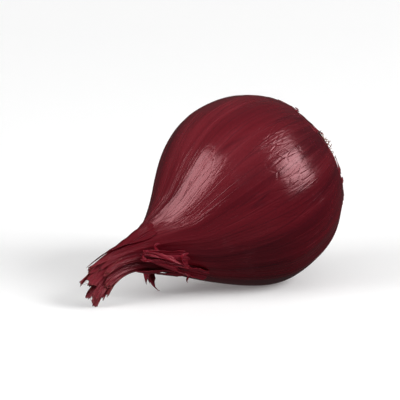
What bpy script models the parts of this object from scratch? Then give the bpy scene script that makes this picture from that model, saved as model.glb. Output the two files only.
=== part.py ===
"""A red onion as picked, lying on its side: the bulb with its dried neck, and the root tuft.

Both are modelled about the bulb's own axis, with the root end at -Z, the neck at +Z and the middle
of the globe at zero. An empty at that middle then lays them down: the belly rests on a small flat
spot and the end of the neck touches the surface. Metres, +Z up; the origin is the middle of the
flat spot, the neck points to -X and down, and the roots to +X and up.
"""

import math
import random

import bmesh
import bpy
from mathutils import Matrix, Vector, noise

# Driving dimensions of the bulb
GLOBE_RADIUS = 0.038
ROOT_END = 0.95 * GLOBE_RADIUS  # from the middle of the globe to the root end
NECK_BASE = 0.80 * GLOBE_RADIUS  # where the neck begins to bend, twist and pleat
NECK_START = 1.64 * GLOBE_RADIUS  # where the shoulders have run out into the neck
NECK_TIP = 2.08 * GLOBE_RADIUS
NECK_RADIUS = 0.0049
NECK_FLARE = 0.0006  # what the frayed end adds to the neck's radius
NECK_RISE = 0.0076  # how far the neck arches up off the axis
NECK_DROOP = 0.0046  # how far its end comes back down
NECK_TWIST = math.radians(70)
TIP_RAG = 0.0042  # how unevenly the neck is broken off
TIP_HOLLOW = 0.0035  # depth of the opening between the dried sheaths

# Shape of the outline: the root half is a superellipse, the neck half a bell
ROOT_FULLNESS = 2.2
SHOULDER_REACH = 2.0
SHOULDER_FALL = 2.35

# Relief of the skin
OUT_OF_ROUND = 0.014  # share of the radius
LOBES = 5
LOBE_SHARE = 0.006  # of the radius
RIBS = 18
RIB_HEIGHT = 0.0002
PLEATS = 6
PLEAT_SHARE = 0.17  # of the neck's radius
SKIN_STEP = 0.0006  # the torn edge of the outer skin round the root end
STEP_BACK = 0.80 * ROOT_END  # where that edge runs
STEP_WANDER = 0.09 * ROOT_END

# Root end
PLATE_RADIUS = 0.0078
PLATE_DOME = 0.0016
SOCKET_DEPTH = 0.0014
GAP = 0.0003  # between the root plate and the bulb that it sits in
SOCKET_RADIUS = PLATE_RADIUS + GAP
SOCKET_CALM = 0.003  # the relief dies out over this width round the socket
ROOTLETS = 60
ROOTLET_RADIUS = 0.00065
ROOTLET_LENGTHS = (0.0032, 0.0058)
ROOTLET_SINK = 0.0008
ROOTLET_CURLS = (16, 40)  # degrees that a rootlet turns at each step
ROOT_SEED = 11

# How it lies
FLAT_SPOT_DEPTH = 0.0007  # how much of the belly the flat spot takes away

# Fineness of the faces
SIDES = 4 * RIBS
ROOT_RINGS = 16
NECK_RINGS = 28
PLATE_SIDES = 24
ROOTLET_SIDES = 4
ROOTLET_STEPS = 6
STRIP_ROWS = 11
STRIP_COLUMNS = 6

# Torn skin. Angles run round the bulb's axis: 0 is the upper side as it lies, 90 the back, 180 the
# underside and -90 the front. Heights are shares of the globe's radius along the axis.
STRIP_THICKNESS = 0.0009
SHEATH_BACKING = 0.0016  # what a sheath that lies on the neck adds below, to fill the pleats
STRIP_SINK = 0.0012  # how deep a strip is rooted in the skin
STRIP_MEANDER = 7  # degrees
# angle, height where it is rooted, height of its free end, lift of that end, width at the root,
# share of the width that is left at the end, sideways drift
TORN_SKIN = (
    (-142, 0.84, 1.50, 0.0080, 0.0092, 0.40, 28),
    (-108, 0.96, 1.70, 0.0034, 0.0084, 0.35, -18),
    (-172, 1.00, 1.56, 0.0034, 0.0070, 0.45, -24),
    (-34, 1.02, 1.88, 0.0003, 0.0096, 0.35, 16),
    (44, 0.94, 1.84, 0.0004, 0.0100, 0.35, -18),
    (104, 0.88, 1.52, 0.0062, 0.0084, 0.40, 24),
    (66, -0.10, -0.52, 0.0026, 0.0130, 0.80, 5),
    (142, -0.22, -0.62, 0.0024, 0.0110, 0.75, -6),
)


def smoothstep(x):
    x = min(max(x, 0.0), 1.0)
    return x * x * (3 - 2 * x)


def wander(angle, seed, pace=1.0):
    """A smooth value from -1 to 1 that closes on itself round the bulb."""
    return noise.noise(Vector((pace * math.cos(angle), pace * math.sin(angle), 7.3 * seed)))


def outline_radius(z):
    """The bulb's mean radius at a height along its axis."""
    if z < 0:
        share = min(-z / ROOT_END, 1.0)
        return GLOBE_RADIUS * (1 - share**ROOT_FULLNESS) ** (1 / ROOT_FULLNESS)
    share = min(z / NECK_START, 1.0)
    bell = (1 - share**SHOULDER_REACH) ** SHOULDER_FALL
    flare = NECK_FLARE * smoothstep((z - NECK_START) / (NECK_TIP - NECK_START))
    return NECK_RADIUS + (GLOBE_RADIUS - NECK_RADIUS) * bell + flare


def along_neck(z):
    """0 on the globe, 1 at the tip of the neck."""
    return min(max((z - NECK_BASE) / (NECK_TIP - NECK_BASE), 0.0), 1.0)


def neck_offset(z):
    """How far the neck's middle lies off the bulb's axis, towards the side that is up."""
    along = along_neck(z)
    return NECK_RISE * smoothstep(1.35 * along) - NECK_DROOP * along**6


def relief(z, angle, radius):
    """What stands out from the mean outline: lobes, ribs, the neck's pleats and the torn edge."""
    on_globe = min(radius / GLOBE_RADIUS, 1.0)
    lobes = OUT_OF_ROUND * math.cos(2 * angle + 0.7) + LOBE_SHARE * math.cos(LOBES * angle + 2.1)
    ribs = RIB_HEIGHT * (0.6 + 0.8 * wander(angle, 2, pace=4.0)) * math.cos(RIBS * angle)
    edge = -STEP_BACK + STEP_WANDER * wander(angle, 5, pace=2.6)
    step = SKIN_STEP if z < edge else 0.0
    calm = smoothstep((radius - SOCKET_RADIUS) / SOCKET_CALM) if z < 0 else 1.0
    pleats = 0.7 * math.cos(PLEATS * angle + 0.4) + 0.5 * wander(angle, 3, pace=2.2)
    pleats *= PLEAT_SHARE * radius * smoothstep(1.6 * along_neck(z))
    return calm * (lobes * radius + ribs * on_globe - step) + pleats


def skin_point(z, angle, lift=0.0):
    """A point of the skin, or one lifted off it by that much."""
    radius = outline_radius(z)
    reach = radius + relief(z, angle, radius) + lift
    turned = angle + NECK_TWIST * smoothstep(along_neck(z))
    return Vector((neck_offset(z) + reach * math.cos(turned), reach * math.sin(turned), z))


def broken_off(point, angle):
    """That point of the skin, drawn back where the end of the neck is torn shorter."""
    near_tip = max((point.z - NECK_TIP) / (3 * TIP_RAG) + 1, 0.0)
    torn = TIP_RAG * (0.5 + 0.5 * wander(angle, 9, pace=3.0))
    return point - Vector((0, 0, torn * near_tip))


def socket_lip():
    """Height at which the bulb's outline meets the rim of the root socket."""
    share = SOCKET_RADIUS / GLOBE_RADIUS
    return -ROOT_END * (1 - share**ROOT_FULLNESS) ** (1 / ROOT_FULLNESS)


def mesh_object(name, mesh_data, collection=None):
    """A smooth-shaded object with that bmesh, faces pointing out."""
    bmesh.ops.recalc_face_normals(mesh_data, faces=mesh_data.faces)
    mesh = bpy.data.meshes.new(name)
    mesh_data.to_mesh(mesh)
    mesh_data.free()
    mesh.shade_smooth()
    made = bpy.data.objects.new(name, mesh)
    (collection or bpy.context.scene.collection).objects.link(made)
    return made


def add_rings(mesh_data, rings):
    """Skins a list of closed rings of points, and returns their vertices."""
    made = [[mesh_data.verts.new(point) for point in ring] for ring in rings]
    for low, high in zip(made, made[1:]):
        for i in range(len(low)):
            after = (i + 1) % len(low)
            mesh_data.faces.new((low[i], low[after], high[after], high[i]))
    return made


def close_ring(mesh_data, ring, middle):
    """Fans a ring to one point."""
    peak = mesh_data.verts.new(middle)
    for i, vertex in enumerate(ring):
        mesh_data.faces.new((vertex, ring[(i + 1) % len(ring)], peak))


def new_collection(name):
    made = bpy.data.collections.new(name)
    bpy.context.scene.collection.children.link(made)
    return made


def fuse(base, collection):
    """Joins every object of the collection to base by one Boolean union, and removes them."""
    union = base.modifiers.new("union", "BOOLEAN")
    union.operation = "UNION"
    union.operand_type = "COLLECTION"
    union.collection = collection
    union.solver = "MANIFOLD"
    graph = bpy.context.evaluated_depsgraph_get()
    joined = bpy.data.meshes.new_from_object(base.evaluated_get(graph))
    base.modifiers.remove(union)
    base.data = joined
    for piece in list(collection.objects):
        bpy.data.objects.remove(piece)
    bpy.data.collections.remove(collection)
    joined.shade_smooth()


def build_skin():
    """The globe and neck in one, from the root socket to the frayed hollow at the neck's end."""
    angles = [math.tau * i / SIDES for i in range(SIDES)]
    lip = socket_lip()
    heights = [lip * math.cos(math.pi / 2 * i / ROOT_RINGS) for i in range(ROOT_RINGS)]
    heights += [NECK_TIP * i / NECK_RINGS for i in range(NECK_RINGS + 1)]
    rings = [[broken_off(skin_point(z, angle), angle) for angle in angles] for z in heights]
    socket_floor = [Vector((p.x, p.y, lip + SOCKET_DEPTH)) for p in rings[0]]
    tip_middle = Vector((neck_offset(NECK_TIP), 0, NECK_TIP))
    hollow = [tip_middle.lerp(p, 0.55) - Vector((0, 0, TIP_HOLLOW)) for p in rings[-1]]
    skin = bmesh.new()
    made = add_rings(skin, [socket_floor, *rings, hollow])
    close_ring(skin, made[0], (0, 0, lip + SOCKET_DEPTH))
    close_ring(skin, made[-1], tip_middle - Vector((0, 0, 1.3 * TIP_HOLLOW)))
    return mesh_object("bulb", skin)


def belly_reach(dip):
    """How far the belly reaches below the middle of the globe, and where along the axis it does."""
    heights = [GLOBE_RADIUS * share / 200 for share in range(200)]
    return max((outline_radius(z) * math.cos(dip) + z * math.sin(dip), z) for z in heights)


def neck_reach(dip):
    """How far the end of the neck reaches below the middle of the globe."""
    across = outline_radius(NECK_TIP) - neck_offset(NECK_TIP)
    return NECK_TIP * math.sin(dip) + across * math.cos(dip)


def rest_dip():
    """How far the neck dips below level when the flat spot and the neck's end both touch the surface."""
    low, high = math.radians(10), math.radians(45)
    for _ in range(30):
        middle = (low + high) / 2
        if neck_reach(middle) < belly_reach(middle)[0] - FLAT_SPOT_DEPTH:
            low = middle
        else:
            high = middle
    return low


DIP = rest_dip()
GLOBE_HEIGHT = belly_reach(DIP)[0] - FLAT_SPOT_DEPTH


def flat_spot_ahead():
    """How far the flat spot lies from the middle of the globe, towards the roots."""
    z = belly_reach(DIP)[1]
    return outline_radius(z) * math.sin(DIP) - z * math.cos(DIP)


def above_floor(point):
    """That point, raised if the sheet round it would reach the surface that the onion lies on."""
    up = Vector((math.cos(DIP), 0, -math.sin(DIP)))
    height = GLOBE_HEIGHT + point.dot(up)
    return point + max(STRIP_THICKNESS - height, 0) * up


def build_strip(number, spec, collection):
    """One torn strip: a sheet rooted in the skin that lifts away and curls to a ragged end."""
    angle, rooted, free, lift, width, left, drift = spec
    start, end = rooted * GLOBE_RADIUS, free * GLOBE_RADIUS
    backing = SHEATH_BACKING if lift < STRIP_THICKNESS else 0
    sheet = bmesh.new()
    rows = []
    for i in range(STRIP_ROWS):
        along = i / (STRIP_ROWS - 1)
        taper = width * (1 - (1 - left) * along**1.4)
        meander = drift * along + STRIP_MEANDER * math.sin(math.pi * (1.7 * along + number))
        rise = lift * along**1.7 - STRIP_SINK * max(1 - 4 * along, 0) - backing / 2
        row = []
        for j in range(STRIP_COLUMNS):
            across = 2 * j / (STRIP_COLUMNS - 1) - 1
            torn = 0.16 * noise.noise(Vector((2.3 * across, 4.1 * number, 0.5))) - 0.14 * across**2
            z = start + (end - start) * (along + along**2 * torn)
            reach = outline_radius(z) + lift * along
            turn = math.radians(angle + meander * along) + across * taper / 2 / reach
            curl = 0.45 * lift * along * across**2
            row.append(sheet.verts.new(above_floor(skin_point(z, turn, rise + curl))))
        rows.append(row)
    for low, high in zip(rows, rows[1:]):
        for j in range(STRIP_COLUMNS - 1):
            sheet.faces.new((low[j], low[j + 1], high[j + 1], high[j]))
    strip = mesh_object(f"strip_{number}", sheet, collection)
    solid = strip.modifiers.new("thickness", "SOLIDIFY")
    solid.thickness = STRIP_THICKNESS + backing
    solid.offset = 0


def cut_at_floor(target):
    """Cuts the flat spot, and whatever else would reach below the surface."""
    size = 6 * GLOBE_RADIUS
    slab = bmesh.new()
    bmesh.ops.create_cube(slab, size=size, matrix=Matrix.Translation((0, 0, -size / 2)))
    cutter = mesh_object("floor_cutter", slab)
    cutter.hide_render = True
    cutter.display_type = "WIRE"
    cut = target.modifiers.new("flat_spot", "BOOLEAN")
    cut.operation = "DIFFERENCE"
    cut.object = cutter


def build_bulb():
    bulb = build_skin()
    strips = new_collection("strips")
    for number, spec in enumerate(TORN_SKIN):
        build_strip(number, spec, strips)
    fuse(bulb, strips)
    cut_at_floor(bulb)
    return bulb


def build_plate(middle):
    """The corky root plate, a low dome that faces away from the globe."""
    angles = [math.tau * i / PLATE_SIDES for i in range(PLATE_SIDES)]
    depth = SOCKET_DEPTH - GAP + PLATE_DOME
    rings = []
    for share, drop in ((1.0, 0.0), (1.0, 0.45), (0.86, 0.8), (0.45, 1.0)):
        reach, z = PLATE_RADIUS * share, middle.z - drop * depth
        rings.append([Vector((reach * math.cos(a), reach * math.sin(a), z)) for a in angles])
    plate = bmesh.new()
    made = add_rings(plate, rings)
    close_ring(plate, made[0], middle)
    close_ring(plate, made[-1], middle - Vector((0, 0, depth)))
    return mesh_object("roots", plate)


def build_rootlet(number, foot, heading, length, curl, collection):
    """One dried rootlet: a thin tube that curls as it leaves the plate and tapers to its end."""
    turns = [math.tau * k / ROOTLET_SIDES for k in range(ROOTLET_SIDES)]
    rings = []
    point = foot
    side = heading.orthogonal()
    for i in range(ROOTLET_STEPS + 1):
        side = (side - side.dot(heading) * heading).normalized()
        other = heading.cross(side)
        radius = ROOTLET_RADIUS * (1 - 0.45 * i / ROOTLET_STEPS)
        rings.append([point + radius * (math.cos(t) * side + math.sin(t) * other) for t in turns])
        point = point + length / ROOTLET_STEPS * heading
        heading = curl @ heading
        heading.z = min(heading.z, -0.15)
        heading.normalize()
    tube = bmesh.new()
    made = add_rings(tube, rings)
    tube.faces.new(made[0])
    tube.faces.new(made[-1])
    mesh_object(f"rootlet_{number}", tube, collection)


def build_roots():
    """The root plate with its rootlets, spaced by the golden angle and fanned out from the middle."""
    middle = Vector((0, 0, socket_lip() + SOCKET_DEPTH - GAP))
    plate = build_plate(middle)
    rootlets = new_collection("rootlets")
    draw = random.Random(ROOT_SEED)
    golden = math.pi * (3 - math.sqrt(5))
    for k in range(ROOTLETS):
        share = math.sqrt((k + 0.5) / ROOTLETS)
        out = Vector((math.cos(k * golden), math.sin(k * golden), 0))
        fan = math.radians(56 * share + draw.uniform(-10, 8))
        heading = math.sin(fan) * out - Vector((0, 0, math.cos(fan)))
        dome = SOCKET_DEPTH - GAP + PLATE_DOME * (1 - 0.7 * share**2)
        foot = middle + 0.74 * PLATE_RADIUS * share * out + Vector((0, 0, ROOTLET_SINK - dome))
        across = Vector([draw.uniform(-1, 1) for _ in range(3)]).cross(heading).normalized()
        curl = Matrix.Rotation(math.radians(draw.uniform(*ROOTLET_CURLS)), 3, across)
        build_rootlet(k, foot, heading, draw.uniform(*ROOTLET_LENGTHS), curl, rootlets)
    fuse(plate, rootlets)
    return plate


def finish(name, colour, roughness):
    """A Principled BSDF in that colour."""
    made = bpy.data.materials.new(name)
    made.use_nodes = True
    shader = made.node_tree.nodes["Principled BSDF"]
    shader.inputs["Base Color"].default_value = (*colour, 1)
    shader.inputs["Roughness"].default_value = roughness
    shader.inputs["Metallic"].default_value = 0
    return made


def main():
    for old in list(bpy.data.objects):
        bpy.data.objects.remove(old)

    bulb = build_bulb()
    bulb.data.materials.append(finish("red_skin", (0.15, 0.018, 0.026), 0.34))
    roots = build_roots()
    roots.data.materials.append(finish("dry_root", (0.42, 0.27, 0.15), 0.85))

    lying = bpy.data.objects.new("lying", None)
    bpy.context.scene.collection.objects.link(lying)
    lying.location = (-flat_spot_ahead(), 0, GLOBE_HEIGHT)
    lying.rotation_euler = (0, -(math.pi / 2 + DIP), 0)
    bulb.parent = lying
    roots.parent = lying


main()
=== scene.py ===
"""The looks of the red onion: glossy skin with veins, torn papery sheaths, a frayed neck and roots.

Everything is modelled about the bulb's own axis, with the root end at -z, the neck at +z and the
middle of the globe at zero, and then laid down as the solids lie. Angles run round that axis: 0 is
the upper side as the onion lies, 90 the back, 180 the underside and -90 the front. Metres.
"""

import math
import random

import bpy
import numpy as np
from mathutils import Matrix, Vector, noise


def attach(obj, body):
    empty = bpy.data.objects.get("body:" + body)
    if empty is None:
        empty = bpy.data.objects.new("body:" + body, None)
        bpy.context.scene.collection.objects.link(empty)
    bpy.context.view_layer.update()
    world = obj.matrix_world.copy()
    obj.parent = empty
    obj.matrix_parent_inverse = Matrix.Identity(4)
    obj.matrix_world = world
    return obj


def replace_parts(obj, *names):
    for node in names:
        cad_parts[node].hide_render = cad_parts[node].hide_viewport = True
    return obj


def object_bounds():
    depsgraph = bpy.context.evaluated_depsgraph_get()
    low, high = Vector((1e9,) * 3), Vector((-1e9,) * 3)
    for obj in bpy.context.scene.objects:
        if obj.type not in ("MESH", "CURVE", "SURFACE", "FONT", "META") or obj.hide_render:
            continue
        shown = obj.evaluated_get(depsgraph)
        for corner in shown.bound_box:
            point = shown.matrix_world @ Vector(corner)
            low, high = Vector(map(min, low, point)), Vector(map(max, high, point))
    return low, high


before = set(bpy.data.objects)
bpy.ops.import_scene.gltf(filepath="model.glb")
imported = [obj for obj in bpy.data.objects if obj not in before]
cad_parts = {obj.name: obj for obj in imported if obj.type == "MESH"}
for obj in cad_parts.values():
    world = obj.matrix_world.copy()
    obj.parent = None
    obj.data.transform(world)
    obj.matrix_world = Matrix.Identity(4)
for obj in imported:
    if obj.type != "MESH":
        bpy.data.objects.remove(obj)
cad_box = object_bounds()
MIDDLE = (cad_box[0] + cad_box[1]) / 2  # of the onion

# The bulb's driving dimensions, as in its solids
GLOBE_RADIUS = 0.038
ROOT_END = 0.95 * GLOBE_RADIUS
NECK_BASE = 0.80 * GLOBE_RADIUS
NECK_START = 1.64 * GLOBE_RADIUS
NECK_TIP = 2.08 * GLOBE_RADIUS
NECK_RADIUS = 0.0049
NECK_FLARE = 0.0006
NECK_RISE = 0.0076
NECK_DROOP = 0.0046
NECK_TWIST = math.radians(70)
ROOT_FULLNESS = 2.2
SHOULDER_REACH = 2.0
SHOULDER_FALL = 2.35
OUT_OF_ROUND = 0.014
LOBES = 5
LOBE_SHARE = 0.006
RIBS = 18
RIB_HEIGHT = 0.0002
PLEATS = 6
PLEAT_SHARE = 0.17
SKIN_STEP = 0.0006
STEP_BACK = 0.80 * ROOT_END
STEP_WANDER = 0.09 * ROOT_END
PLATE_RADIUS = 0.0078
PLATE_DOME = 0.0016
SOCKET_DEPTH = 0.0014
GAP = 0.0003
SOCKET_RADIUS = PLATE_RADIUS + GAP
SOCKET_FALL = 1 - (SOCKET_RADIUS / GLOBE_RADIUS) ** ROOT_FULLNESS
SOCKET_RIM = -ROOT_END * SOCKET_FALL ** (1 / ROOT_FULLNESS)  # height of the socket's rim
SOCKET_FLOOR = SOCKET_RIM + SOCKET_DEPTH
SOCKET_CALM = 0.003
FLAT_SPOT_DEPTH = 0.0007
STRIP_SINK = 0.0012
STRIP_MEANDER = 7
# angle, height where it is rooted, height of its free end, lift of that end, width at the root,
# share of the width that is left at the end, sideways drift
NECK_STRIPS = (
    (-142, 0.84, 1.50, 0.0080, 0.0092, 0.40, 28),
    (-108, 0.96, 1.70, 0.0034, 0.0084, 0.35, -18),
    (-172, 1.00, 1.56, 0.0034, 0.0070, 0.45, -24),
    (-34, 1.02, 1.88, 0.0003, 0.0096, 0.35, 16),
    (44, 0.94, 1.84, 0.0004, 0.0100, 0.35, -18),
    (104, 0.88, 1.52, 0.0062, 0.0084, 0.40, 24),
)
SKIN_FLAKES = (
    (66, -0.10, -0.52, 0.0026, 0.0130, 0.80, 5),
    (142, -0.22, -0.62, 0.0024, 0.0110, 0.75, -6),
)

# Fine shape of the skin
SIDES = 336
DOME_ROWS = 104
SHOULDER = 0.62 * GLOBE_RADIUS  # height where the outermost sheath's rows begin
DENT = 0.00028  # broad, shallow hollows where the onion was pressed
DENT_PACE = 2.6  # of them per radius
RIPPLE = 0.00005
RIPPLE_PACE = 7.0
CREASES = 17  # folds that gather the skin towards the neck
CREASE_DEPTH = 0.00042
CRUMPLE = 0.0004
PUCKERS = 26  # folds that gather the skin round the root end
PUCKER_DEPTH = 0.00022
PAPER = 0.00018  # thickness of one dry skin
LAYER_GAP = 0.0005  # between two nested skins
EDGE_JAGS = (0.0011, 0.0006)  # coarse and fine teeth of the edge torn round the root end
EDGE_TUCK = 0.002  # how far one sees in below that edge
EDGE_CLEARANCE = 0.0002  # between it and the inner skin's last open row
INNER_TURN = 0.66  # limit, in radians, of the turn that spaces those rows
EDGE_CURL = 0.0007
EDGE_CURL_LENGTH = 0.0035
RIM_TUCK = 0.005  # how far one sees in below a sheath's rim
RIM_FLARE = 0.0022
RIM_FLARE_LENGTH = 0.014
RIM_DRY = 0.0009  # width of the driest skin along a rim
RIM_FRAY = (0.0008, 0.0007)  # coarse and fine teeth of a rim
WELL_DEPTH = 0.005  # of the neck's hollow, below the innermost sheath
WELL_TAPER = 0.0012
WELL_POINT = 0.002
# The neck's nested sheaths, from the outermost: height, how much it sways, ribbons that it is torn
# into, how unevenly they end, depth of the slits between them
SHEATHS = (
    (1.90, 0.05, 10, 0.0058, 0.0110),
    (1.99, 0.03, 9, 0.0050, 0.0090),
    (2.10, 0.01, 9, 0.0044, 0.0070),
)
SHEATH_ROWS = (66, 30, 26)
REST_CALM = 0.5  # how much less is torn off where the neck's end touches the surface
REST_SPLAY = 0.75  # and how much a sheath splays there at least
UNEVEN_CUTS = 0.36  # how far a slit may lie from its even place, in ribbons
RIBBON_POINT = 1.5  # how pointed the ribbons' ends are
SLIT_HALVES = (1.8, 5.0)  # degrees from the middle of a slit to its side

# Fine shape of the loose pieces
STRIP_ROWS = 64
STRIP_COLUMNS = 22
STRIP_CLEARANCE = 0.00025
STRIP_CRUMPLE = 0.0004
STRIP_WRINKLE = 0.00022
STRIP_GUTTER = 0.0006  # how much further its sides stand off than its middle
STRIP_TEAR = 0.16  # how unevenly it ends, as a share of its length
STRIP_FRINGE = 0.14  # and how finely frayed its end is
STRIP_TAPER = 0.70  # share of its width that it loses towards its end
WHOLE_POINT = 0.12  # how much further it ends in its middle than at its sides
SPLIT_POINT = 0.26  # and a ribbon that it is split into
STRIP_DRYNESS = 0.2
FLAKE_DRYNESS = 0.1
FLOOR_CLEARANCE = 0.0004
LOOSE_LIFT = 0.001  # a strip that lifts further than this has torn loose
STRIP_RIBBONS = 3  # that the free end of a loose strip is split into
SPLIT_START = 0.42  # share of a strip's length at which it is split
CURL_START = 0.50  # and at which it begins to curl
STRIP_CURLS = (-70, 120, -60, 14, 8, 90)  # degrees that the ends curl away from the neck
FLAKE_CURL = 50
# angle, height where it is rooted, length, width, degrees that it curls, degrees that it twists,
# degrees that it slants as it starts
NECK_RIBBONS = (
    (-124, 1.06, 0.0120, 0.0026, 150, 80, 40),
    (-138, 0.98, 0.0100, 0.0022, 110, -90, -50),
    (-112, 1.22, 0.0110, 0.0020, 170, 60, 60),
    (-96, 1.32, 0.0095, 0.0020, 120, -60, -30),
    (-152, 1.16, 0.0090, 0.0024, 70, 50, 40),
    (128, 1.10, 0.0110, 0.0024, 130, 70, -40),
    (80, 1.30, 0.0100, 0.0020, 110, -50, 30),
)
RIBBON_STEPS = 40
RIBBON_LANES = 7
RIBBON_SINK = 0.0004
RIBBON_SEAT = 0.006  # radius of the neck where they are rooted
PROBE = 0.002  # a short step along the skin or off it
SHREDS = 15
SHRED_HOLD = 0.05  # how far above the torn edge they are rooted, in radii of the globe
SHRED_LENGTHS = (0.05, 0.12)  # and how far they reach below it
SHRED_LIFTS = (0.0004, 0.0016)
SHRED_WIDTHS = (0.0014, 0.0034)
SHRED_GRID = (18, 6)
SHRED_FRINGE = 0.1
FIBRES = 34
FIBRE_RADIUS = 0.00013
FIBRE_SINK = 0.004  # how deep in its sheath a fibre starts
FIBRE_REACH = (0.0004, 0.0026)  # how much longer than that it is
FIBRE_LEAN = 0.0006
FIBRE_STEPS = 9
FIBRE_SIDES = 5
PLATE_SIDES = 96
PLATE_KNOBS = (0.0004, 0.0002)  # coarse and fine scars
ROOTLETS = 330
ROOTLET_SIDES = 6
ROOTLET_FAN = (66, 14)  # degrees that the outermost lean outwards, and how much each may differ
ROOTLET_SPREAD = 0.80  # share of the plate's radius that they cover
ROOTLET_RADIUS = 0.00032
ROOTLET_LENGTHS = (0.0032, 0.0062)
ROOTLET_SINK = 0.0008
ROOTLET_CURLS = (16, 40)  # degrees in a sixth of its length
ROOTLET_STEPS = 13

# Camera and light
CAMERA_AZIMUTH = math.radians(-33)
CAMERA_ELEVATION = math.radians(13)
CAMERA_DISTANCE = 0.9
VIEW_WIDTH = 0.156
VIEW_AIM = (-0.0035, -0.002)  # from MIDDLE, right and up in the picture
LIGHT_DISTANCE = 3.0
# Soft lights: direction (right, up and towards the camera), width and height as shares of their
# distance, brightness, and whether the skin mirrors them or they only fill the shadows. The last
# one stands for what the pale table sends up.
SOFTBOXES = (
    ("softbox_right", (0.83, 0.46, 0.46), 0.52, 0.54, 9.6, True),
    ("softbox_left", (-0.85, 0.26, 0.45), 0.62, 0.58, 6.2, True),
    ("fill", (0.0, 0.76, 0.76), 1.2, 1.2, 0.84, False),
    ("fill_behind", (0.35, 0.55, -0.75), 1.0, 1.0, 0.9, False),
    ("table_light", (0.0, -1.0, 0.25), 1.2, 1.2, 0.55, False),
)
# The grey studio: two cosines from straight up, or from the camera's side, and how bright it is
# at each
STUDIO_OVERHEAD = (0.0, 1.0, 0.0, 0.14)
STUDIO_FRONT = (-0.5, 0.9, 0.05, 0.18)
FLOOR_SIZE = 24.0
FLOOR_LINES = 12
FLOOR_GLOW = 0.15  # what the floor gives off near the onion, as a lit table does
BACKDROP_FADE = (0.25, 1.6)  # distances between which the floor turns to plain white

# Colours
MAROONS = (
    (0.36, (0.060, 0.0026, 0.0068)),
    (0.47, (0.098, 0.0042, 0.0094)),
    (0.56, (0.124, 0.006, 0.012)),
    (0.68, (0.170, 0.012, 0.020)),
)
VEIN = (0.038, 0.002, 0.006, 1)
HAIR = (0.215, 0.020, 0.030, 1)
BLOOM = (0.130, 0.026, 0.036, 1)
BROWNS = ((0.158, 0.0105, 0.0190, 1), (0.255, 0.0225, 0.0350, 1))
STRAW = (0.330, 0.120, 0.075, 1)
# Painted light: a bright crimson mixed into the base colour of the loose strips, standing for light
# that shines through their thin skin
PAINTED_GLOW_CRIMSON = (0.440, 0.030, 0.058, 1)
LOOSE_PAINTED_GLOW = 0.30  # share of that painted glow in the strips that have torn loose
SHEEN = (1.0, 0.50, 0.54, 1)
# light and dark, and how fine the grain is per metre
CORK = ((0.36, 0.212, 0.142), (0.190, 0.098, 0.068), 900.0)
DRY_ROOT = ((0.60, 0.352, 0.250), (0.280, 0.130, 0.094), 700.0)
ROOT_SCAR = (0.085, 0.038, 0.022, 1)

# How fine the skin's patterns are across its veins and along them, per radius of the globe
BROAD, STREAKS, HAIRS = (1.6, 0.7), (11, 0.55), (34, 0.9)
VEINS, VEIN_PATCHES = (8.5, 0.42), (4, 2)
CRACKLE, CRACKLE_PATCHES = (13, 5.5), (3, 3)
DRYING, WRINKLES = (9, 2.2), (20, 6.5)
BLOOM_SPECKS = 70.0  # per metre
SKIN_BUMP, PAPER_BUMP, ROOT_BUMP = 0.00016, 0.00022, 0.0002


def smoothstep(x):
    x = np.clip(x, 0.0, 1.0)
    return x * x * (3 - 2 * x)


def wander(angle, seed, pace=1.0):
    """A smooth value from -1 to 1 that closes on itself round the bulb."""

    def value(a):
        return noise.noise(Vector((pace * math.cos(a), pace * math.sin(a), 7.3 * seed)))

    return np.vectorize(value, otypes=[float])(angle)


def field(points, seed):
    """A smooth value from -1 to 1 at each point of an array."""
    flat = np.asarray(points).reshape(-1, 3) + 17.3 * seed
    return np.array([noise.noise(Vector(p)) for p in flat]).reshape(points.shape[:-1])


def outline_radius(z):
    """The bulb's mean radius at a height along its axis."""
    root_share = np.clip(-z / ROOT_END, 0.0, 1.0)
    root_half = GLOBE_RADIUS * (1 - root_share**ROOT_FULLNESS) ** (1 / ROOT_FULLNESS)
    share = np.clip(z / NECK_START, 0.0, 1.0)
    bell = (1 - share**SHOULDER_REACH) ** SHOULDER_FALL
    flare = NECK_FLARE * smoothstep((z - NECK_START) / (NECK_TIP - NECK_START))
    neck_half = NECK_RADIUS + (GLOBE_RADIUS - NECK_RADIUS) * bell + flare
    return np.where(z < 0, root_half, neck_half)


def along_neck(z):
    """0 on the globe, 1 at the tip of the neck."""
    return np.clip((z - NECK_BASE) / (NECK_TIP - NECK_BASE), 0.0, 1.0)


def neck_offset(z):
    """How far the neck's middle lies off the bulb's axis, towards the side that is up."""
    along = along_neck(z)
    return NECK_RISE * smoothstep(1.35 * along) - NECK_DROOP * along**6


def socket_calm(z, radius):
    """1 on the skin, falling to 0 at the rim of the socket that the root plate sits in."""
    return np.where(z < 0, smoothstep((radius - SOCKET_RADIUS) / SOCKET_CALM), 1.0)


def relief(z, angle, radius):
    """What stands out from the mean outline: lobes, ribs and the neck's pleats."""
    on_globe = np.minimum(radius / GLOBE_RADIUS, 1.0)
    lobes = OUT_OF_ROUND * np.cos(2 * angle + 0.7) + LOBE_SHARE * np.cos(LOBES * angle + 2.1)
    ribs = RIB_HEIGHT * (0.6 + 0.8 * wander(angle, 2, pace=4.0)) * np.cos(RIBS * angle)
    pleats = 0.7 * np.cos(PLEATS * angle + 0.4) + 0.5 * wander(angle, 3, pace=2.2)
    pleats = pleats * PLEAT_SHARE * radius * smoothstep(1.6 * along_neck(z))
    return socket_calm(z, radius) * (lobes * radius + ribs * on_globe) + pleats


def skin_points(z, angle, lift=0.0):
    """Points of the skin, or ones lifted off it by that much."""
    radius = outline_radius(z)
    reach = radius + relief(z, angle, radius) + lift
    turned = angle + NECK_TWIST * smoothstep(along_neck(z))
    x = neck_offset(z) + reach * np.cos(turned)
    y = reach * np.sin(turned)
    return np.stack(np.broadcast_arrays(x, y, z), axis=-1)


def around(z, angle):
    """Where a point lies on the skin: its direction round the axis before the neck's twist, which
    the veins follow, and its height."""
    parts = np.broadcast_arrays(np.cos(angle), np.sin(angle), z / GLOBE_RADIUS)
    return np.stack(parts, axis=-1)


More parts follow.
